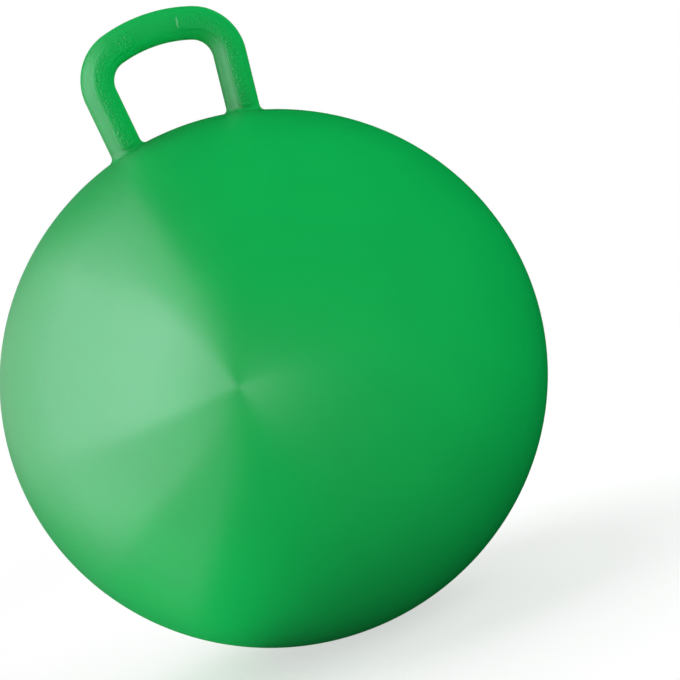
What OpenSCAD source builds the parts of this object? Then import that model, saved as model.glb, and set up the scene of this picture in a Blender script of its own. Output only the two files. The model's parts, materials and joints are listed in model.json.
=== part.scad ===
// Hopper ball: an inflated ball of soft vinyl with a hollow loop handle and a stoppered valve.
// Millimetres, +Z up through the handle, the loop in the XZ plane, the floor at Z = 0.

/* [Ball] */
// Width of the inflated ball at its equator
ball_width = 590; // [450:5:760]
// Height of the ball along the handle axis, before it settles on the floor
ball_height = 577; // [440:1:745]
// Thickness of the blown skin
skin = 0.5; // [0.4:0.1:2]
// How far the skin flattens where the ball stands
foot_sag = 2; // [1:0.5:6]

/* [Handle] */
// Height of the handle above the top of the ball
handle_rise = 125; // [100:1:180]
// Overall width of the handle loop
handle_width = 186; // [150:1:240]
// Diameter of the round handle bar
bar_d = 36; // [26:1:42]
// Wall of the hollow bar
bar_wall = 4; // [2:0.5:8]
// Bend radius of the two upper corners, at the middle of the bar
corner_r = 41; // [28:1:52]
// Radius of the arched top, at the middle of the bar
crown_r = 160; // [120:5:400]
// Lean of the legs, which part a little towards the top
leg_lean = 6; // [0:0.5:12]
// Size of the flare where a leg merges into the ball
root_fillet = 7; // [3:0.5:12]

/* [Grip pads] */
// Width of the raised pads on the front and back of the bar
pad_width = 17; // [10:0.5:20]
// How far the pads stand out from the bar
pad_raise = 1.2; // [0.5:0.1:2.5]
// Width of the slope at a pad's edge
pad_edge = 1.2; // [0.6:0.1:2]
// Smooth length left between the two pads at the middle of the arched top
pad_gap = 52; // [30:1:70]

/* [Valve] */
// Turn of the valve about the handle axis, from straight behind
valve_turn = 21; // [-60:1:60]
// Diameter of the valve boss that shows in the skin
boss_d = 38; // [34:1:46]
// Thickness of the valve boss
boss_t = 5; // [4:0.5:9]
// Diameter of the flange welded behind the skin
flange_d = 58; // [48:1:70]
// Thickness of that flange
flange_t = 1.5; // [1:0.1:2]
// Diameter of the dished seat at the outside of the boss
dish_d = 28; // [25:0.5:32]
// Wall of the neck round the stopper's stem
neck_wall = 3.5; // [2:0.5:8]

/* [Stopper] */
// Diameter of the stopper's head
head_d = 20; // [14:0.5:22]
// Thickness of the stopper's head
head_t = 2.2; // [1.5:0.1:3]
// Depth of the head below the surface of the ball
head_sink = 0.6; // [0.3:0.1:1]
// Diameter over the rings of the stem
stem_d = 8.4; // [6:0.2:10]
// Length of the stem below the head
stem_length = 20; // [14:1:30]
// Height by which a ring stands out from the stem
ring_height = 0.5; // [0.3:0.1:0.8]
// Number of rings on the stem
ring_count = 3; // [1:1:4]
// Wall of the hollow stem, under the rings
stem_wall = 1.4; // [1:0.1:2]
// Clearance between the stem's rings and the neck's bore
stem_gap = 0.1; // [0.05:0.01:0.3]
// Room round the head in the floor of the dish
head_room = 1; // [0.5:0.1:1.4]

/* [Hidden] */
$fn = 96;
// Facets round the large ball, fine enough for the thin skin
ball_facets = 360;
// Turn of the ball's seam line, towards the front right
seam_turn = -30;
// A cut runs this far past the face that it opens.
past = 1;
// Hairline that keeps the faceted roots of the handle out of the round skin
seat_gap = 0.02;

// The ball stands on a flat patch, so its equator lies a little under half its height.
ball_a = ball_width / 2;
ball_b = ball_height / 2;
equator_z = ball_b - foot_sag;
ball_top = ball_height - foot_sag;

// Centre line of the handle: an arched top, two corner arcs and two straight legs, all tangent.
// A place on it is named by the angle of its outward normal from vertical, positive towards +X.
bar_r = bar_d / 2;
core_r = bar_r - bar_wall;
half_spread = handle_width / 2 - bar_r;
crown_z = ball_top + handle_rise - bar_r - crown_r;
corner_x = half_spread - corner_r;
crown_end = asin(corner_x / (crown_r - corner_r));
corner_z = crown_z + (crown_r - corner_r) * cos(crown_end);
leg_angle = 90 + leg_lean;
front = [0, -1, 0];

function side_of(angle) = angle < 0 ? -1 : 1;
function outward(angle) = [sin(angle), 0, cos(angle)];
function centre(angle) = abs(angle) <= crown_end
    ? [0, 0, crown_z] + crown_r * outward(angle)
    : [side_of(angle) * corner_x, 0, corner_z] + corner_r * outward(angle);
function leg_down(side) = [-side * sin(leg_lean), 0, -cos(leg_lean)];

// Length along a line from a point above the ball to its surface, which is an ellipsoid.
function squared(v) = (v[0] * v[0] + v[1] * v[1]) / pow(ball_a + seat_gap, 2)
    + v[2] * v[2] / pow(ball_b + seat_gap, 2);
function mixed(v, w) = (squared(v + w) - squared(v - w)) / 4;
function from_equator(point) = point - [0, 0, equator_z];
function drop(point, way) = let (p = from_equator(point), half = mixed(p, way))
    (-half - sqrt(half * half - squared(way) * (squared(p) - 1))) / squared(way);
function on_ball(point, way) = point + drop(point, way) * way;
leg_length = drop(centre(leg_angle), leg_down(1));

// Places round the bar, from its outer side towards the front: [angle, share of the pad's height].
// The pads lie in the middle of the front and of the back, whatever their width at that place.
pad_steps = 4;
flank_steps = 10;
round_count = 2 * (pad_steps + flank_steps + 2);
function half_angle(width) = asin(width / 2 / bar_r);
function round_places(width) = [
    for (middle = [90, 270])
        let (top = half_angle(width), foot = half_angle(width + 2 * pad_edge), flank = 180 - 2 * foot)
        each concat(
            [for (i = [0 : pad_steps]) [middle - top + 2 * top * i / pad_steps, 1]],
            [for (i = [0 : flank_steps]) [middle + foot + flank * i / flank_steps, 0]])
];
function spoke(angle, turn) = cos(turn) * outward(angle) + sin(turn) * front;
function bar_ring(angle, along_leg, radius, width, raise) = [
    for (place = round_places(width))
        centre(angle) + along_leg * leg_down(side_of(angle))
            + (radius + raise * place[1]) * spoke(angle, place[0])
];

// Stations of the outer skin on one half, from the middle of the top: [angle, pad width, pad height].
// A pad starts with a half-round end, at these turns round the circle of its end.
pad_end_turns = [10, 30, 60];
pad_end_middle = asin((pad_gap + pad_width) / 2 / crown_r);
top_steps = 2;
crown_steps = 2;
corner_steps = 10;
function pad_end_place(turn) = [
    pad_end_middle - asin(pad_width / 2 * cos(turn) / crown_r),
    pad_width * sin(turn),
    turn == pad_end_turns[0] ? 0 : pad_raise
];
pad_tip = pad_end_place(pad_end_turns[0]);
half_stations = concat(
    [[pad_tip[0] / top_steps, pad_tip[1], 0]],
    [for (turn = pad_end_turns) pad_end_place(turn)],
    [for (i = [0 : crown_steps - 1])
        [pad_end_middle + (crown_end - pad_end_middle) * i / crown_steps, pad_width, pad_raise]],
    [for (i = [0 : corner_steps])
        [crown_end + (leg_angle - crown_end) * i / corner_steps, pad_width, pad_raise]]);
half_count = len(half_stations);
outer_stations = concat(
    [for (i = [1 : half_count]) let (s = half_stations[half_count - i]) [-s[0], s[1], s[2]]],
    [[0, pad_tip[1], 0]],
    half_stations);

// Root of a leg: the pads end just above a flare, which curves from the leg out over the ball.
flare_steps = 4;
pad_foot = leg_length - root_fillet - pad_width / 2;
function root_ring(side, radius) = let (angle = side * leg_angle) [
    for (place = round_places(pad_width))
        on_ball(centre(angle) + radius * spoke(angle, place[0]), leg_down(side))
];
function flare_ring(side, share) = let (
        lip = root_ring(side, bar_r + root_fillet),
        corner = root_ring(side, bar_r),
        rise = -root_fillet * leg_down(side))
    [for (i = [0 : round_count - 1])
        pow(1 - share, 2) * lip[i] + 2 * share * (1 - share) * corner[i]
            + share * share * (corner[i] + rise)];
function root_rings(side) = concat(
    [for (i = [0 : flare_steps]) flare_ring(side, i / flare_steps)],
    [bar_ring(side * leg_angle, pad_foot, bar_r, pad_width, pad_raise)]);

// Open end of a leg, from the lip of the flare in to the hollow core.
mouth_steps = 3;
function mouth_rings(side) = [
    for (i = [1 : mouth_steps])
        root_ring(side, bar_r + root_fillet - (bar_wall + root_fillet) * i / mouth_steps)
];

// Hollow core, from the right leg over the top to the left leg.
core_corner_steps = 7;
core_crown_steps = 4;
core_angles = concat(
    [for (i = [0 : core_corner_steps - 1]) leg_angle - (leg_angle - crown_end) * i / core_corner_steps],
    [for (i = [0 : core_crown_steps]) crown_end - 2 * crown_end * i / core_crown_steps],
    [for (i = [1 : core_corner_steps]) -crown_end - (leg_angle - crown_end) * i / core_corner_steps]);

function reversed(list) = [for (i = [1 : len(list)]) list[len(list) - i]];
// The handle's whole skin is one closed row of rings: up, over and down outside, and back inside.
handle_rings = concat(
    root_rings(-1),
    [for (s = outer_stations) bar_ring(s[0], 0, bar_r, s[1], s[2])],
    reversed(root_rings(1)),
    mouth_rings(1),
    [for (angle = core_angles) bar_ring(angle, 0, core_r, pad_width, 0)],
    reversed(mouth_rings(-1)));

// Stopper and valve, measured outward from the surface of the ball at the equator.
seat_depth = head_t + head_sink;
bore_d = stem_d + 2 * stem_gap;
neck_length = stem_length + seat_depth - boss_t;
dish_floor_d = head_d + 2 * head_room;

// Solid ball, drawn in by the given depth on every side but not yet flattened.
// It is turned so that its own seam line stays clear of the legs and of the valve.
module ball_solid(inset) {
    translate([0, 0, equator_z])
        scale([1, 1, (ball_b - inset) / (ball_a - inset)])
            rotate([0, 0, seam_turn])
                sphere(r = ball_a - inset, $fn = ball_facets);
}

// Room above the given height, wide enough for the whole ball.
module above(height) {
    translate([-ball_width, -ball_width, height])
        cube([2 * ball_width, 2 * ball_width, 2 * ball_height]);
}

// Joins rings of equal counts into a closed skin, each to the next and the last to the first.
module lofted(rings) {
    count = len(rings[0]);
    function at(i, j) = (i % len(rings)) * count + j % count;
    polyhedron(
        points = [for (ring = rings) each ring],
        faces = [
            for (i = [0 : len(rings) - 1])
                for (j = [0 : count - 1])
                    each [
                        [at(i, j), at(i + 1, j), at(i + 1, j + 1)],
                        [at(i, j), at(i + 1, j + 1), at(i, j + 1)]
                    ]
        ],
        convexity = 4);
}

// Straight hole through the skin, in line with a leg's hollow core.
module leg_duct(side) {
    translate(centre(side * leg_angle) + leg_length * leg_down(side))
        rotate([0, side * leg_lean, 0])
            cylinder(r = core_r, h = bar_d, center = true);
}

// Moves a revolved valve piece to its place, with its outer face at the surface of the ball.
module at_valve() {
    translate([0, 0, equator_z])
        rotate([0, 0, -valve_turn])
            translate([0, ball_a, 0])
                rotate([-90, 0, 0]) children();
}

module ball_shell() {
    color("#12a84b")
        difference() {
            intersection() {
                ball_solid(0);
                above(0);
            }
            intersection() {
                ball_solid(skin);
                above(skin);
            }
            for (side = [-1, 1])
                leg_duct(side);
            at_valve() cylinder(d = boss_d, h = 2 * boss_t, center = true);
        }
}

module handle() {
    color("#12a84b") lofted(handle_rings);
}

// The valve's hollow: the dished seat for the stopper's head, then the bore for its stem.
module valve_hollow() {
    dish_slope = (dish_d - dish_floor_d) / seat_depth;
    translate([0, 0, -seat_depth])
        cylinder(d1 = dish_floor_d, d2 = dish_d + dish_slope * past, h = seat_depth + past);
    translate([0, 0, -boss_t - neck_length - past])
        cylinder(d = bore_d, h = boss_t + neck_length + past);
}

module valve_insert() {
    color("#12a84b")
        difference() {
            union() {
                intersection() {
                    at_valve() translate([0, 0, -boss_t]) cylinder(d = boss_d, h = boss_t + past);
                    ball_solid(0);
                }
                difference() {
                    intersection() {
                        at_valve() translate([0, 0, -boss_t]) cylinder(d = flange_d, h = boss_t);
                        ball_solid(skin);
                    }
                    ball_solid(skin + flange_t);
                }
                at_valve() translate([0, 0, -boss_t - neck_length])
                    cylinder(d = bore_d + 2 * neck_wall, h = neck_length + flange_t);
            }
            at_valve() valve_hollow();
        }
}

// One ring of the stem: tapered towards the tip, so that it goes in easily and holds.
module stem_ring(pitch) {
    cylinder(d1 = stem_d - 2 * ring_height, d2 = stem_d, h = pitch / 2);
}

module valve_plug() {
    ring_pitch = stem_length / (ring_count + 1);
    core_d = stem_d - 2 * ring_height;
    rim_t = head_t / 2;
    color("#f2f1ec")
        at_valve()
            translate([0, 0, -seat_depth])
                difference() {
                    union() {
                        cylinder(d = head_d, h = rim_t);
                        translate([0, 0, rim_t])
                            cylinder(d1 = head_d, d2 = head_d - 2 * rim_t, h = head_t - rim_t);
                        translate([0, 0, -stem_length]) cylinder(d = core_d, h = stem_length + rim_t);
                        for (i = [0 : ring_count - 1])
                            translate([0, 0, -stem_length + (i + 0.5) * ring_pitch]) stem_ring(ring_pitch);
                    }
                    translate([0, 0, -stem_length - past])
                        cylinder(d = core_d - 2 * stem_wall, h = stem_length + past - rim_t);
                }
}

ball_shell();
handle();
valve_insert();
valve_plug();
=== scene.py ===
# Hopper ball: an inflated ball of soft green vinyl with a hollow loop handle and a stoppered valve.
# Metres, +Z up through the handle, the loop in the XZ plane, the floor at Z = 0.
import json
import math

import bmesh
import bpy
from mathutils import Matrix, Vector, noise


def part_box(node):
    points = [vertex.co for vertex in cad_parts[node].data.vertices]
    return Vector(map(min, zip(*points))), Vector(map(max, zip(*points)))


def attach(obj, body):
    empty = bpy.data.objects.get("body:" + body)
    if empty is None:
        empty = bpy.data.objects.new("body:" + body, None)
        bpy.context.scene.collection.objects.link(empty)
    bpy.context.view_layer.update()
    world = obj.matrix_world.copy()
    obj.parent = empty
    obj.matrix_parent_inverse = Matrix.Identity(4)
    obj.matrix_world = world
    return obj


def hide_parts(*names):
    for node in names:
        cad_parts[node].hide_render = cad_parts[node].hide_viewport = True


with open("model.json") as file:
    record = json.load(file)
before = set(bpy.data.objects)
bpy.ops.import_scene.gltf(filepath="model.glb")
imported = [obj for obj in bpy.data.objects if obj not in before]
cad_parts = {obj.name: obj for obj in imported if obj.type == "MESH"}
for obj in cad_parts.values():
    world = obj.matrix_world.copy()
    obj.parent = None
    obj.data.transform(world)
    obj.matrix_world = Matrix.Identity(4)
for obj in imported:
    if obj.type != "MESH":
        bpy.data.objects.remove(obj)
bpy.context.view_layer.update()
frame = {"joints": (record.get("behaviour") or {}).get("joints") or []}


# Ball skin: the blown wall of soft green vinyl, half a millimetre thick and a little oblate.
# The circles turned in its mould leave fine marks round one axis, which draw light into a fan.
# It settles on a small flat patch, and a round hole at the back takes the valve.
ball_low, ball_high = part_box("ball_shell")
foot_sag = 0.002
foot_softness = 0.0004
skin = 0.0005
ball_radius = (ball_high.x - ball_low.x) / 2
half_height = (ball_high.z + foot_sag) / 2
ball_centre = Vector((0, 0, half_height - foot_sag))
valve_axis = Vector(frame["joints"][0]["axis"]).normalized()
valve_up = Vector((0, 0, 1))
valve_side = valve_axis.cross(valve_up)
valve_hole_radius = 0.019
ball_columns = 256
outer_rows = 150
inner_rows = 50


def lofted(name, rings, closed=False):
    """Object whose skin joins each ring to the next; a ring of one point closes an end."""
    points = [point for ring in rings for point in ring]
    starts = [0]
    for ring in rings:
        starts.append(starts[-1] + len(ring))
    pairs = [(i, i + 1) for i in range(len(rings) - 1)]
    if closed:
        pairs.append((len(rings) - 1, 0))
    faces = []
    for one, two in pairs:
        count = max(len(rings[one]), len(rings[two]))
        for i in range(count):
            j = (i + 1) % count
            corners = [
                starts[one] + i % len(rings[one]),
                starts[one] + j % len(rings[one]),
                starts[two] + j % len(rings[two]),
                starts[two] + i % len(rings[two]),
            ]
            faces.append(tuple(dict.fromkeys(corners)))
    mesh = bpy.data.meshes.new(name)
    mesh.from_pydata(points, [], faces)
    shaped = bmesh.new()
    shaped.from_mesh(mesh)
    bmesh.ops.recalc_face_normals(shaped, faces=shaped.faces)
    shaped.to_mesh(mesh)
    shaped.free()
    mesh.shade_smooth()
    piece = bpy.data.objects.new(name, mesh)
    bpy.context.scene.collection.objects.link(piece)
    return piece


def on_ball(direction, inset=0.0):
    """Point of the settled skin in a direction from the ball's centre, drawn in by the inset."""
    wide = ball_radius - inset
    high = half_height - inset
    flat_share = (direction.x ** 2 + direction.y ** 2) / wide ** 2
    point = ball_centre + direction / math.sqrt(flat_share + direction.z ** 2 / high ** 2)
    height = point.z - inset
    point.z = inset + (height + math.hypot(height, foot_softness)) / 2
    return point


def skin_ring(angle, inset=0.0):
    """Ring of the skin round the valve's axis, at an angle from that axis."""
    ring = []
    for i in range(ball_columns):
        turn = math.tau * i / ball_columns
        side = math.cos(turn) * valve_up + math.sin(turn) * valve_side
        ring.append(on_ball(math.cos(angle) * valve_axis + math.sin(angle) * side, inset))
    return ring


hole_angle = math.asin(valve_hole_radius / ball_radius)
outer_step = (math.pi - hole_angle) / outer_rows
inner_step = (math.pi - hole_angle) / inner_rows
ball_rings = [[on_ball(-valve_axis)]]
ball_rings += [skin_ring(math.pi - outer_step * i) for i in range(1, outer_rows + 1)]
ball_rings += [skin_ring(hole_angle + inner_step * i, skin) for i in range(inner_rows)]
ball_rings.append([on_ball(-valve_axis, skin)])
ball_skin = lofted("ball_skin", ball_rings)


def add_node(tree, kind, inputs=None, **settings):
    """New shader node with its settings, and with each input linked to a socket or set to a value."""
    node = tree.nodes.new(kind)
    for name, value in settings.items():
        setattr(node, name, value)
    for name, value in (inputs or {}).items():
        if isinstance(value, bpy.types.NodeSocket):
            tree.links.new(value, node.inputs[name])
        else:
            node.inputs[name].default_value = value
    return node


def calculate(tree, operation, *values):
    """Output of a Math node."""
    return add_node(tree, "ShaderNodeMath", dict(enumerate(values)), operation=operation).outputs[0]


def new_material(name):
    """Empty node material, its tree and its output node."""
    material = bpy.data.materials.new(name)
    material.use_nodes = True
    material.node_tree.nodes.clear()
    output = material.node_tree.nodes.new("ShaderNodeOutputMaterial")
    return material, material.node_tree, output


# Soft vinyl: slow clouds in the colour, and a fine grain in the gloss and the surface.
cloud_scale = 9
cloud_detail = 4
cloud_low = 0.3
cloud_high = 0.7
darkest_tone = 0.96
lightest_tone = 1.04
grain_scale = 520
grain_detail = 2
grain_gloss_swing = 0.08
vinyl_group = bpy.data.node_groups.new("soft_vinyl", "ShaderNodeTree")
vinyl_group.interface.new_socket("Colour", in_out="INPUT", socket_type="NodeSocketColor")
vinyl_group.interface.new_socket("Roughness", in_out="INPUT", socket_type="NodeSocketFloat")
vinyl_group.interface.new_socket("Colour", in_out="OUTPUT", socket_type="NodeSocketColor")
vinyl_group.interface.new_socket("Roughness", in_out="OUTPUT", socket_type="NodeSocketFloat")
vinyl_group.interface.new_socket("Height", in_out="OUTPUT", socket_type="NodeSocketFloat")
vinyl_in = vinyl_group.nodes.new("NodeGroupInput")
vinyl_out = vinyl_group.nodes.new("NodeGroupOutput")
vinyl_place = add_node(vinyl_group, "ShaderNodeTexCoord").outputs["Object"]
clouds = add_node(
    vinyl_group, "ShaderNodeTexNoise",
    {"Vector": vinyl_place, "Scale": cloud_scale, "Detail": cloud_detail})
grain = add_node(
    vinyl_group, "ShaderNodeTexNoise",
    {"Vector": vinyl_place, "Scale": grain_scale, "Detail": grain_detail})
tone = add_node(vinyl_group, "ShaderNodeMapRange", {
    "Value": clouds.outputs["Fac"],
    "From Min": cloud_low,
    "From Max": cloud_high,
    "To Min": darkest_tone,
    "To Max": lightest_tone,
})
toned = add_node(
    vinyl_group, "ShaderNodeVectorMath",
    {0: vinyl_in.outputs["Colour"], "Scale": tone.outputs["Result"]}, operation="SCALE")
grain_gloss = calculate(
    vinyl_group, "MULTIPLY_ADD", grain.outputs["Fac"], grain_gloss_swing, -grain_gloss_swing / 2)
vinyl_gloss = calculate(vinyl_group, "ADD", vinyl_in.outputs["Roughness"], grain_gloss)
vinyl_group.links.new(toned.outputs["Vector"], vinyl_out.inputs["Colour"])
vinyl_group.links.new(vinyl_gloss, vinyl_out.inputs["Roughness"])
vinyl_group.links.new(grain.outputs["Fac"], vinyl_out.inputs["Height"])

# Turned vinyl: the gloss is drawn out across the circles that the mould's turning left.
vinyl_green = (0.001, 0.395, 0.07, 1)
ball_roughness = 0.31
gloss_stretch = 0.94
marks_azimuth = math.radians(-21)
marks_rise = math.radians(6)
marks_axis = Vector((
    math.sin(marks_azimuth) * math.cos(marks_rise),
    -math.cos(marks_azimuth) * math.cos(marks_rise),
    math.sin(marks_rise),
))
marks_per_metre = 700
mark_detail = 2
mark_depth = 0.0002
mark_strength = 0.05
grain_among_marks = 0.5
ball_finish, tree, output = new_material("turned_vinyl")
vinyl = add_node(
    tree, "ShaderNodeGroup", {"Colour": vinyl_green, "Roughness": ball_roughness}, node_tree=vinyl_group)
axis_now = add_node(
    tree, "ShaderNodeVectorTransform", {"Vector": marks_axis},
    vector_type="VECTOR", convert_from="OBJECT", convert_to="WORLD").outputs[0]
normal = add_node(tree, "ShaderNodeNewGeometry").outputs["Normal"]
facing = add_node(tree, "ShaderNodeVectorMath", {0: normal, 1: axis_now}, operation="DOT_PRODUCT")
inward = add_node(
    tree, "ShaderNodeVectorMath", {0: normal, "Scale": facing.outputs["Value"]}, operation="SCALE")
in_surface = add_node(
    tree, "ShaderNodeVectorMath", {0: axis_now, 1: inward.outputs[0]}, operation="SUBTRACT")
across_marks = add_node(tree, "ShaderNodeVectorMath", {0: in_surface.outputs[0]}, operation="NORMALIZE")
place = add_node(tree, "ShaderNodeTexCoord").outputs["Object"]
from_centre = add_node(tree, "ShaderNodeVectorMath", {0: place, 1: ball_centre}, operation="SUBTRACT")
outward = add_node(tree, "ShaderNodeVectorMath", {0: from_centre.outputs[0]}, operation="NORMALIZE")
along_axis = add_node(
    tree, "ShaderNodeVectorMath", {0: outward.outputs[0], 1: marks_axis}, operation="DOT_PRODUCT")
from_pole = calculate(tree, "ARCCOSINE", along_axis.outputs["Value"])
mark_place = calculate(tree, "MULTIPLY", from_pole, ball_radius * marks_per_metre)
marks = add_node(
    tree, "ShaderNodeTexNoise", {"W": mark_place, "Scale": 1, "Detail": mark_detail},
    noise_dimensions="1D")
ball_relief = calculate(
    tree, "MULTIPLY_ADD", vinyl.outputs["Height"], grain_among_marks, marks.outputs["Fac"])
ball_bump = add_node(
    tree, "ShaderNodeBump", {"Strength": mark_strength, "Distance": mark_depth, "Height": ball_relief})
shader = add_node(tree, "ShaderNodeBsdfPrincipled", {
    "Base Color": vinyl.outputs["Colour"],
    "Roughness": vinyl.outputs["Roughness"],
    "Anisotropic": gloss_stretch,
    "Tangent": across_marks.outputs[0],
    "Normal": ball_bump.outputs["Normal"],
})
tree.links.new(shader.outputs[0], output.inputs["Surface"])
ball_skin.data.materials.append(ball_finish)
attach(ball_skin, "ball")
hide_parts("ball_shell")


# Handle: the loop of thicker green vinyl on top, a hollow round bar moulded in one with the skin.
# Raised grip pads with a border and a pebbled face run along its front and its back, and each
# leg flares out where it merges into the ball.
handle_low, handle_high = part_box("handle")
bar_radius = 0.018
bar_wall = 0.004
corner_radius = 0.041
crown_radius = 0.160
leg_lean = math.radians(6)
root_fillet = 0.007
pad_width = 0.017
pad_raise = 0.0012
pad_edge = 0.0012
pad_gap = 0.052
pad_end_radius = 0.0055
pad_border = 0.0011
border_raise = 0.0005
border_place = 1.5 * pad_border
face_start = 2 * pad_border
pebble_size = 0.0021
pebble_raise = 0.0008
pebble_contrast = 0.7
fine_pebble_share = 0.5
bar_step = 0.0006
flare_steps = 14
mouth_steps = 4
core_steps = 60
pad_half_turn = math.radians(38)
pad_columns = 44
flank_columns = 20
seat_gap = 0.00002
foot_slope_reach = 0.0035
foot_steps = 12

spread = (handle_high.x - handle_low.x) / 2 - bar_radius
crown_z = handle_high.z - bar_radius - crown_radius
corner_x = spread - corner_radius
crown_end = math.asin(corner_x / (crown_radius - corner_radius))
corner_z = crown_z + (crown_radius - corner_radius) * math.cos(crown_end)
leg_angle = math.pi / 2 + leg_lean
crown_length = crown_radius * crown_end
corner_length = corner_radius * (leg_angle - crown_end)
front = Vector((0, -1, 0))


def leg_down(side):
    """Direction down a leg; side is -1 for the left leg and 1 for the right one."""
    return Vector((-side * math.sin(leg_lean), 0, -math.cos(leg_lean)))


def bar_place(along):
    """Point on the bar's centre line and its outward normal, at a length from the middle of the top."""
    side = -1 if along < 0 else 1
    length = abs(along)
    if length < crown_length:
        angle = length / crown_radius
        middle = Vector((0, 0, crown_z))
        radius = crown_radius
    else:
        angle = min(crown_end + (length - crown_length) / corner_radius, leg_angle)
        middle = Vector((side * corner_x, 0, corner_z))
        radius = corner_radius
    normal = Vector((side * math.sin(angle), 0, math.cos(angle)))
    down_leg = max(0.0, length - crown_length - corner_length)
    return middle + radius * normal + down_leg * leg_down(side), normal


def drop_to_ball(point, way):
    """Point where a line meets the ball, a hairline above the skin."""
    stretch = Vector((1 / (ball_radius + seat_gap),) * 2 + (1 / (half_height + seat_gap),))
    start = (point - ball_centre) * stretch
    step = way * stretch
    half = start.dot(step)
    reach = -half - math.sqrt(half ** 2 - step.length_squared * (start.length_squared - 1))
    return point + way * reach / step.length_squared


def spoke(normal, turn):
    """Direction out of the bar, turned from its outer side towards the front."""
    return math.cos(turn) * normal + math.sin(turn) * front


def evenly(start, end, count):
    """Evenly spaced values from the start up to, but without, the end."""
    return [start + (end - start) * i / count for i in range(count)]


leg_top = bar_place(crown_length + corner_length)[0]
leg_length = (drop_to_ball(leg_top, leg_down(1)) - leg_top).length
half_length = crown_length + corner_length + leg_length
bar_turns = []
for middle in (math.pi / 2, 3 * math.pi / 2):
    bar_turns += evenly(middle - pad_half_turn, middle + pad_half_turn, pad_columns)
    bar_turns += evenly(middle + pad_half_turn, middle + math.pi - pad_half_turn, flank_columns)
pad_start = pad_gap / 2
bar_end = half_length - root_fillet - foot_slope_reach
pad_end = half_length - root_fillet / 2
pad_middle = (pad_start + pad_end) / 2
pad_half_length = (pad_end - pad_start) / 2


def smooth_step(value):
    """Eases from 0 to 1 as the value goes from 0 to 1."""
    share = min(1.0, max(0.0, value))
    return share * share * (3 - 2 * share)


def pad_inside(along, across):
    """Depth of a place inside a pad's rounded outline, negative outside it."""
    past_end = abs(abs(along) - pad_middle) - pad_half_length + pad_end_radius
    past_side = abs(across) - pad_width / 2 + pad_end_radius
    corner = math.hypot(max(past_end, 0), max(past_side, 0))
    return pad_end_radius - corner - min(max(past_end, past_side), 0)


def pad_height(along, turn):
    """Height of the grip pads above the round bar: the slope, the border and the pebbled face."""
    across = bar_radius * math.cos(turn)
    side = math.copysign(1, math.sin(turn))
    if abs(math.cos(turn)) > math.sin(pad_half_turn):
        return 0.0
    inside = pad_inside(along, across)
    height = pad_raise * smooth_step(1 / 2 + inside / pad_edge)
    border = border_raise * math.exp(-((inside - border_place) / pad_border) ** 2)
    face = smooth_step((inside - face_start) / pad_border)
    cell = Vector((along, across, side * pad_width)) / pebble_size
    pebbles = noise.noise(cell) + fine_pebble_share * noise.noise(2 * cell)
    return height + border + face * pebble_raise * smooth_step(1 / 2 + pebble_contrast * pebbles)


def bar_ring(along, radius, with_pads):
    """Ring round the bar at a length from the middle of the top."""
    middle, normal = bar_place(along)
    return [
        middle + (radius + (pad_height(along, turn) if with_pads else 0)) * spoke(normal, turn)
        for turn in bar_turns
    ]


def root_ring(side, radius):
    """Ring where a round bar in line with a leg would meet the ball."""
    top, normal = bar_place(side * (crown_length + corner_length))
    return [drop_to_ball(top + radius * spoke(normal, turn), leg_down(side)) for turn in bar_turns]


def padded(side, points, share):
    """Ring of a leg raised by a share of its grip pads."""
    top, normal = bar_place(side * (crown_length + corner_length))
    raised = []
    for point, turn in zip(points, bar_turns):
        along = crown_length + corner_length + (point - top).dot(leg_down(side))
        raised.append(point + share * pad_height(side * along, turn) * spoke(normal, turn))
    return raised


def curved(start, corner, end, share):
    """Point at a share of the way along a curve that leaves the start and meets the end by a corner."""
    return (1 - share) ** 2 * start + 2 * share * (1 - share) * corner + share ** 2 * end


def foot_rings(side):
    """Rings of a leg's foot, from the flare's lip on the ball up to the first square ring."""
    lip = root_ring(side, bar_radius + root_fillet)
    corner = root_ring(side, bar_radius)
    flare_top = [point - root_fillet * leg_down(side) for point in corner]
    square = bar_ring(side * bar_end, bar_radius, False)
    rings = []
    for i in range(flare_steps):
        share = i / flare_steps
        flare = [curved(a, b, c, share) for a, b, c in zip(lip, corner, flare_top)]
        rings.append(padded(side, flare, share ** 2))
    for i in range(foot_steps):
        share = i / foot_steps
        rings.append(padded(side, [a.lerp(b, share) for a, b in zip(flare_top, square)], 1))
    return rings


def mouth_rings(side):
    """Rings across the seat of a leg, from the flare's lip in to the hollow core."""
    width = bar_wall + root_fillet
    radii = [bar_radius + root_fillet - width * i / mouth_steps for i in range(1, mouth_steps + 1)]
    return [root_ring(side, radius) for radius in radii]


bar_count = round(2 * bar_end / bar_step)
bar_lengths = [-bar_end + 2 * bar_end * i / bar_count for i in range(bar_count + 1)]
core_lengths = [bar_end - 2 * bar_end * i / core_steps for i in range(core_steps + 1)]
handle_rings = foot_rings(-1)
handle_rings += [bar_ring(length, bar_radius, True) for length in bar_lengths]
handle_rings += foot_rings(1)[::-1] + mouth_rings(1)
handle_rings += [bar_ring(length, bar_radius - bar_wall, False) for length in core_lengths]
handle_rings += mouth_rings(-1)[::-1]
handle = lofted("loop_handle", handle_rings, closed=True)

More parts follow.
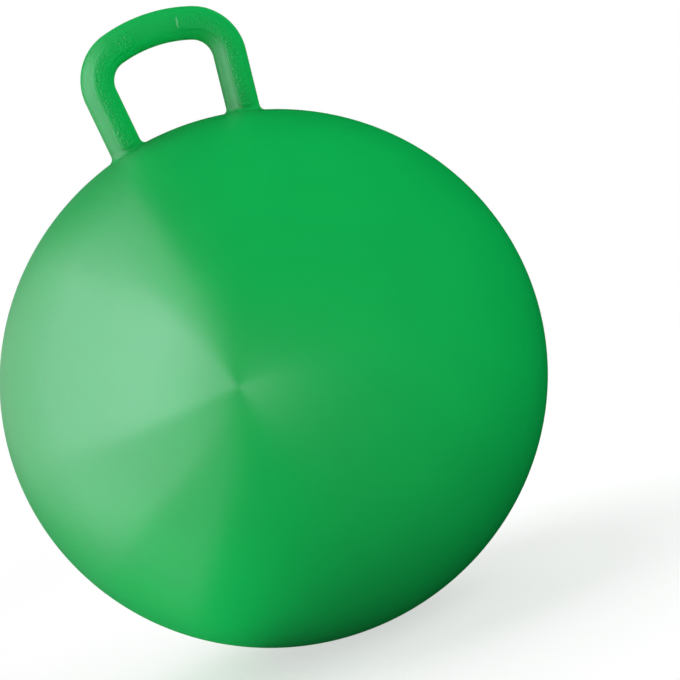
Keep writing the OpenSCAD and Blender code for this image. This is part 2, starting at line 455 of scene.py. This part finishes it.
# Grip vinyl: the same vinyl as the ball's, duller and with more of its grain.
handle_roughness = 0.48
handle_specular = 0.34
handle_grain_depth = 0.0003
handle_grain_strength = 0.25
handle_finish, tree, output = new_material("grip_vinyl")
vinyl = add_node(
    tree, "ShaderNodeGroup", {"Colour": vinyl_green, "Roughness": handle_roughness}, node_tree=vinyl_group)
handle_bump = add_node(tree, "ShaderNodeBump", {
    "Strength": handle_grain_strength,
    "Distance": handle_grain_depth,
    "Height": vinyl.outputs["Height"],
})
shader = add_node(tree, "ShaderNodeBsdfPrincipled", {
    "Base Color": vinyl.outputs["Colour"],
    "Roughness": vinyl.outputs["Roughness"],
    "Specular IOR Level": handle_specular,
    "Normal": handle_bump.outputs["Normal"],
})
tree.links.new(shader.outputs[0], output.inputs["Surface"])
handle.data.materials.append(handle_finish)
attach(handle, "ball")
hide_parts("handle")


# Valve: the soft green vinyl socket welded into the skin at the back, flush with the ball.
# A flange behind the skin holds it, a dish takes the stopper's head and a neck grips its stem.
boss_radius = valve_hole_radius
boss_depth = 0.005
flange_radius = 0.029
flange_depth = 0.0015
dish_radius = 0.014
dish_floor_radius = 0.011
seat_depth = 0.0028
bore_radius = 0.0043
neck_radius = 0.0078
neck_end = 0.0228
soft_edge = 0.0006
edge_steps = 4
edge_parts = 3
valve_columns = 128
valve_mouth = ball_centre + ball_radius * valve_axis


def sag(radius):
    """Drop of the ball's surface at a distance from the valve's axis."""
    return half_height - math.sqrt(half_height ** 2 - radius ** 2)


def softened(outline, reach):
    """Closed outline with each corner rounded, from a reach before it to a reach after it."""
    points = [Vector(point) for point in outline]
    rounded = []
    for i, corner in enumerate(points):
        before = points[i - 1] - corner
        after = points[(i + 1) % len(points)] - corner
        start = corner + before.normalized() * min(reach, before.length / edge_parts)
        end = corner + after.normalized() * min(reach, after.length / edge_parts)
        rounded += [curved(start, corner, end, j / edge_steps) for j in range(edge_steps + 1)]
    return rounded


def turned_ring(radius, height):
    """Ring round the valve's axis, at a height out from the ball's surface."""
    ring = []
    for i in range(valve_columns):
        turn = math.tau * i / valve_columns
        side = math.cos(turn) * valve_up + math.sin(turn) * valve_side
        ring.append(valve_mouth + height * valve_axis + radius * side)
    return ring


valve_outline = [
    (bore_radius, -neck_end),
    (bore_radius, -seat_depth),
    (dish_floor_radius, -seat_depth),
    (dish_radius, -sag(dish_radius)),
    (boss_radius, -sag(boss_radius)),
    (boss_radius, -sag(boss_radius) - skin),
    (flange_radius, -sag(flange_radius) - skin),
    (flange_radius, -sag(flange_radius) - skin - flange_depth),
    (boss_radius, -sag(boss_radius) - skin - flange_depth),
    (boss_radius, -boss_depth),
    (neck_radius, -boss_depth),
    (neck_radius, -neck_end),
]
valve_rings = [turned_ring(radius, height) for radius, height in softened(valve_outline, soft_edge)]
valve = lofted("valve_socket", valve_rings, closed=True)

valve_green = (0.004, 0.37, 0.068, 1)
valve_roughness = 0.4
valve_grain_depth = 0.0002
valve_grain_strength = 0.15
valve_finish, tree, output = new_material("valve_vinyl")
vinyl = add_node(
    tree, "ShaderNodeGroup", {"Colour": valve_green, "Roughness": valve_roughness}, node_tree=vinyl_group)
valve_bump = add_node(tree, "ShaderNodeBump", {
    "Strength": valve_grain_strength,
    "Distance": valve_grain_depth,
    "Height": vinyl.outputs["Height"],
})
shader = add_node(tree, "ShaderNodeBsdfPrincipled", {
    "Base Color": vinyl.outputs["Colour"],
    "Roughness": vinyl.outputs["Roughness"],
    "Normal": valve_bump.outputs["Normal"],
})
tree.links.new(shader.outputs[0], output.inputs["Surface"])
valve.data.materials.append(valve_finish)
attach(valve, "ball")
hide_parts("valve_insert")


# Stopper: the white push-in plug of moulded polyethylene that keeps the air in.
# Its flat head lies in the dish, and the rings on its hollow stem hold in the neck.
head_radius = 0.010
head_rim = 0.0011
head_sink = 0.0006
stem_radius = 0.0042
ring_height = 0.0005
ring_count = 3
stem_length = 0.020
stem_wall = 0.0014
gate_radius = 0.0015
gate_floor_radius = gate_radius / 3
gate_depth = 0.0002
stopper_edge = soft_edge / 2
stem_core = stem_radius - ring_height
ring_pitch = stem_length / (ring_count + 1)
stem_end = seat_depth + stem_length

stopper_outline = [
    (gate_floor_radius, -head_sink - gate_depth),
    (gate_radius, -head_sink),
    (head_radius - head_rim, -head_sink),
    (head_radius, -head_sink - head_rim),
    (head_radius, -seat_depth),
    (stem_core, -seat_depth),
]
for i in reversed(range(ring_count)):
    ring_low = -stem_end + (i + 1 / 2) * ring_pitch
    stopper_outline += [
        (stem_core, ring_low + ring_pitch / 2),
        (stem_radius, ring_low + ring_pitch / 2),
        (stem_core, ring_low),
    ]
stopper_outline += [
    (stem_core, -stem_end),
    (stem_core - stem_wall, -stem_end),
    (stem_core - stem_wall, -seat_depth - head_rim),
    (gate_floor_radius, -seat_depth - head_rim),
]
stopper_rings = [turned_ring(radius, height) for radius, height in softened(stopper_outline, stopper_edge)]
stopper_rings.insert(0, [valve_mouth - (head_sink + gate_depth) * valve_axis])
stopper_rings.append([valve_mouth - (seat_depth + head_rim) * valve_axis])
stopper = lofted("stopper", stopper_rings)

wax_dark = (0.84, 0.83, 0.78, 1)
wax_light = (0.92, 0.91, 0.88, 1)
haze_scale = 180
haze_detail = 4
scuff_scale = 1500
scuff_detail = 3
scuff_depth = 0.0001
scuff_strength = 0.12
smoothest_wax = 0.32
scuff_gloss_swing = 0.25
wax_glow = 0.15
wax_glow_reach = (0.002, 0.002, 0.0016)
stopper_finish, tree, output = new_material("waxy_polyethylene")
place = add_node(tree, "ShaderNodeTexCoord").outputs["Object"]
haze = add_node(
    tree, "ShaderNodeTexNoise", {"Vector": place, "Scale": haze_scale, "Detail": haze_detail})
scuffs = add_node(
    tree, "ShaderNodeTexNoise", {"Vector": place, "Scale": scuff_scale, "Detail": scuff_detail})
# A Mix node of colours takes its share at socket 0 and its colours at 6 and 7, and gives socket 2.
wax = add_node(
    tree, "ShaderNodeMix", {0: haze.outputs["Fac"], 6: wax_dark, 7: wax_light}, data_type="RGBA")
wax_gloss = calculate(tree, "MULTIPLY_ADD", scuffs.outputs["Fac"], scuff_gloss_swing, smoothest_wax)
wax_bump = add_node(tree, "ShaderNodeBump", {
    "Strength": scuff_strength,
    "Distance": scuff_depth,
    "Height": scuffs.outputs["Fac"],
})
shader = add_node(tree, "ShaderNodeBsdfPrincipled", {
    "Base Color": wax.outputs[2],
    "Roughness": wax_gloss,
    "Subsurface Weight": wax_glow,
    "Subsurface Radius": wax_glow_reach,
    "Subsurface Scale": 1,
    "Normal": wax_bump.outputs["Normal"],
})
tree.links.new(shader.outputs[0], output.inputs["Surface"])
stopper.data.materials.append(stopper_finish)
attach(stopper, "stopper")
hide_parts("valve_plug")


# Camera: a long lens a little to the left of the handle's front and a little above the equator,
# rolled so that the handle leans to the left.
image_side = 680
ball_centre_px = (274.4, 378.0)
ball_half_width_px = 274.7
camera_azimuth = math.radians(-14)
camera_rise = math.radians(5)
camera_roll = math.radians(19.7)
camera_distance = 2.95
sensor_width = 36
back = Vector((
    math.sin(camera_azimuth) * math.cos(camera_rise),
    -math.cos(camera_azimuth) * math.cos(camera_rise),
    math.sin(camera_rise),
))
level_right = Vector((math.cos(camera_azimuth), math.sin(camera_azimuth), 0))
level_up = back.cross(level_right)
image_right = math.cos(camera_roll) * level_right - math.sin(camera_roll) * level_up
image_up = back.cross(image_right)
ball_edge_distance = math.sqrt(camera_distance ** 2 - ball_radius ** 2)
focal_px = ball_half_width_px * ball_edge_distance / ball_radius
ball_in_view = Vector((
    ball_centre_px[0] - image_side / 2, image_side / 2 - ball_centre_px[1], -focal_px))
aimed = Matrix((image_right, image_up, back)).transposed()
swing = ball_in_view.rotation_difference(Vector((0, 0, -1))).to_matrix()
camera_data = bpy.data.cameras.new("camera")
camera_data.sensor_width = sensor_width
camera_data.lens = focal_px * sensor_width / image_side
camera = bpy.data.objects.new("camera", camera_data)
camera.matrix_world = Matrix.Translation(ball_centre + camera_distance * back) @ (aimed @ swing).to_4x4()
bpy.context.scene.collection.objects.link(camera)
bpy.context.scene.camera = camera
bpy.context.scene.view_settings.view_transform = "Standard"


# Floor and background: a pale floor that keeps the ball's soft shadow and turns white further out,
# in a white studio. A dark flag round the ball, which only reflections see, keeps the white off it
# but for a rounded gap on the left. The floor lets the lamps below it shine through.
floor_radius = 8
floor_drop = 0.0005
floor_columns = 96
floor_paint = (0.93, 0.93, 0.93, 1)
shadow_reach = 0.75
white_reach = 1.9
near_white_share = 0.6
studio_white = (1, 1, 1, 1)
ambient_level = 0.24
gap_half_turn = math.radians(54)
gap_depth = math.radians(132)
flag_radius = 0.8
flag_thickness = 0.01
flag_rows = 120
flag_columns = 32
flag_black = (0, 0, 0, 1)


def sees_background(tree):
    """Mask of the rays that see the white background: those of the camera, of gloss and of glass."""
    path = add_node(tree, "ShaderNodeLightPath")
    seen = calculate(tree, "MAXIMUM", path.outputs["Is Camera Ray"], path.outputs["Is Glossy Ray"])
    return calculate(tree, "MAXIMUM", seen, path.outputs["Is Transmission Ray"])


def flat_ring(radius):
    """Ring of the floor round the ball."""
    turns = [math.tau * i / floor_columns for i in range(floor_columns)]
    return [Vector((radius * math.cos(turn), radius * math.sin(turn), -floor_drop)) for turn in turns]


floor = lofted("floor", [flat_ring(floor_radius), [Vector((0, 0, -floor_drop))]])
floor.visible_diffuse = False
floor.visible_glossy = False
floor.visible_shadow = False
floor_finish, tree, output = new_material("pale_floor")
place = add_node(tree, "ShaderNodeTexCoord").outputs["Object"]
distance = add_node(tree, "ShaderNodeVectorMath", {0: place}, operation="LENGTH").outputs["Value"]
away = add_node(
    tree, "ShaderNodeMapRange",
    {"Value": distance, "From Min": shadow_reach, "From Max": white_reach, "To Min": near_white_share},
    interpolation_type="SMOOTHSTEP")
white_share = calculate(tree, "MULTIPLY", away.outputs["Result"], sees_background(tree))
painted = add_node(tree, "ShaderNodeBsdfDiffuse", {"Color": floor_paint})
white = add_node(tree, "ShaderNodeEmission", {"Color": studio_white, "Strength": 1})
mixed = add_node(tree, "ShaderNodeMixShader", {0: white_share, 1: painted.outputs[0], 2: white.outputs[0]})
tree.links.new(mixed.outputs[0], output.inputs["Surface"])
floor.data.materials.append(floor_finish)


def flag_arc(turn, radius):
    """Arc of the flag at a turn about the line of view, from the gap or the front round to the back."""
    way = math.cos(turn) * image_right + math.sin(turn) * image_up
    into_gap = 1 - ((turn - math.pi) / gap_half_turn) ** 2
    start = gap_depth * math.sqrt(max(0, into_gap))
    angles = [start + (math.pi - start) * (i + 1 / 2) / flag_columns for i in range(flag_columns)]
    return [ball_centre + radius * (math.cos(angle) * back + math.sin(angle) * way) for angle in angles]


flag_rings = []
for i in range(flag_rows):
    turn = math.tau * i / flag_rows
    flag_rings.append(flag_arc(turn, flag_radius) + flag_arc(turn, flag_radius + flag_thickness)[::-1])
flag = lofted("dark_flag", flag_rings, closed=True)
flag.visible_camera = False
flag.visible_diffuse = False
flag.visible_shadow = False
flag.visible_transmission = False
flag_finish, tree, output = new_material("dark_cloth")
dark = add_node(tree, "ShaderNodeBsdfDiffuse", {"Color": flag_black})
tree.links.new(dark.outputs[0], output.inputs["Surface"])
flag.data.materials.append(flag_finish)

world = bpy.data.worlds.new("studio")
world.use_nodes = True
world.node_tree.nodes.clear()
tree = world.node_tree
output = tree.nodes.new("ShaderNodeOutputWorld")
ambient = add_node(tree, "ShaderNodeBackground", {"Color": studio_white, "Strength": ambient_level})
white = add_node(tree, "ShaderNodeBackground", {"Color": studio_white, "Strength": 1})
mixed = add_node(
    tree, "ShaderNodeMixShader", {0: sees_background(tree), 1: ambient.outputs[0], 2: white.outputs[0]})
tree.links.new(mixed.outputs[0], output.inputs["Surface"])
# Only rays find the world, so the white that gloss sees stays out of the light on the colours.
world.cycles.sampling_method = "NONE"
bpy.context.scene.world = world


# Studio lamps: large soft boxes light the ball from the left, the front, the right and the back, in
# directions along the picture's own axes, and a low one lifts the underside. Long boxes on the left
# show in the gloss alone and make the fan.
lamp_distance = 2.2
fill_size = 2.2
sheen_tint = (1.0, 1.0, 1.2)
sheen_near = 4.5
sheen_middle = 1.2
sheen_far = -0.6
bounce_height = 0.006
bounce_from = 0.13
bounce_to = 1.8
bounce_near = 1.6
bounce_far = -0.8
bounce_brightness = 1.15


def softbox(name, place, way, width, length, brightness):
    """Soft box at a place, seen from the ball in a direction, with its length along the view."""
    across = back.cross(way).normalized()
    data = bpy.data.lights.new(name, "AREA")
    data.shape = "RECTANGLE"
    data.size = width
    data.size_y = length
    data.energy = brightness * math.pi * width * length
    # Rays of gloss would carry a little of the colour to a box that is for gloss alone.
    data.cycles.use_multiple_importance_sampling = False
    lamp = bpy.data.objects.new(name, data)
    turned = Matrix((across, way.cross(across), way)).transposed()
    lamp.matrix_world = Matrix.Translation(place) @ turned.to_4x4()
    lamp.visible_camera = False
    bpy.context.scene.collection.objects.link(lamp)
    return lamp


def fill_box(name, right, up, towards, level):
    """Square soft box that lights a facing surface at a level, and that the gloss doesn't show."""
    way = (right * image_right + up * image_up + towards * back).normalized()
    brightness = level * math.pi * (lamp_distance / fill_size) ** 2
    lamp = softbox(name, ball_centre + lamp_distance * way, way, fill_size, fill_size, brightness)
    lamp.visible_glossy = False


def sheen_box(name, turn_from, turn_to, near, far, brightness):
    """Long soft box beside the line of view, between two turns about it, that only the gloss shows."""
    turn = math.radians(turn_from + turn_to) / 2
    way = math.cos(turn) * image_right + math.sin(turn) * image_up
    place = ball_centre + lamp_distance * way + (near + far) / 2 * back
    width = 2 * lamp_distance * math.tan(math.radians(turn_to - turn_from) / 2)
    lamp = softbox(name, place, way, width, near - far, brightness)
    lamp.data.color = sheen_tint
    lamp.visible_diffuse = False


fill_box("left_box", right=-0.65, up=0.75, towards=-0.05, level=0.82)
fill_box("front_box", right=-0.1, up=-0.15, towards=0.97, level=0.44)
fill_box("right_box", right=0.7, up=0.56, towards=0.32, level=0.72)
fill_box("back_box", right=0.3, up=0.5, towards=-0.8, level=0.55)
sheen_box("front_sheen", 145, 201, sheen_near, sheen_middle, brightness=6.9)
sheen_box("side_sheen", 150, 201, sheen_middle, sheen_far, brightness=3.6)
sheen_box("upper_sheen", 127, 150, sheen_middle, sheen_far, brightness=1.9)
sheen_box("crest_sheen", 127, 145, sheen_near, sheen_middle, brightness=1.2)
sheen_box("low_sheen", 201, 229, sheen_near, sheen_far, brightness=2.4)
sheen_box("under_sheen", 229, 252, sheen_near, sheen_far, brightness=1.0)
bounce_place = (bounce_near + bounce_far) / 2 * back - (bounce_from + bounce_to) / 2 * level_right
bounce_place.z = bounce_height
bounce = softbox(
    "floor_bounce", bounce_place, Vector((0, 0, -1)),
    bounce_to - bounce_from, bounce_near - bounce_far, bounce_brightness)
bounce.visible_glossy = False
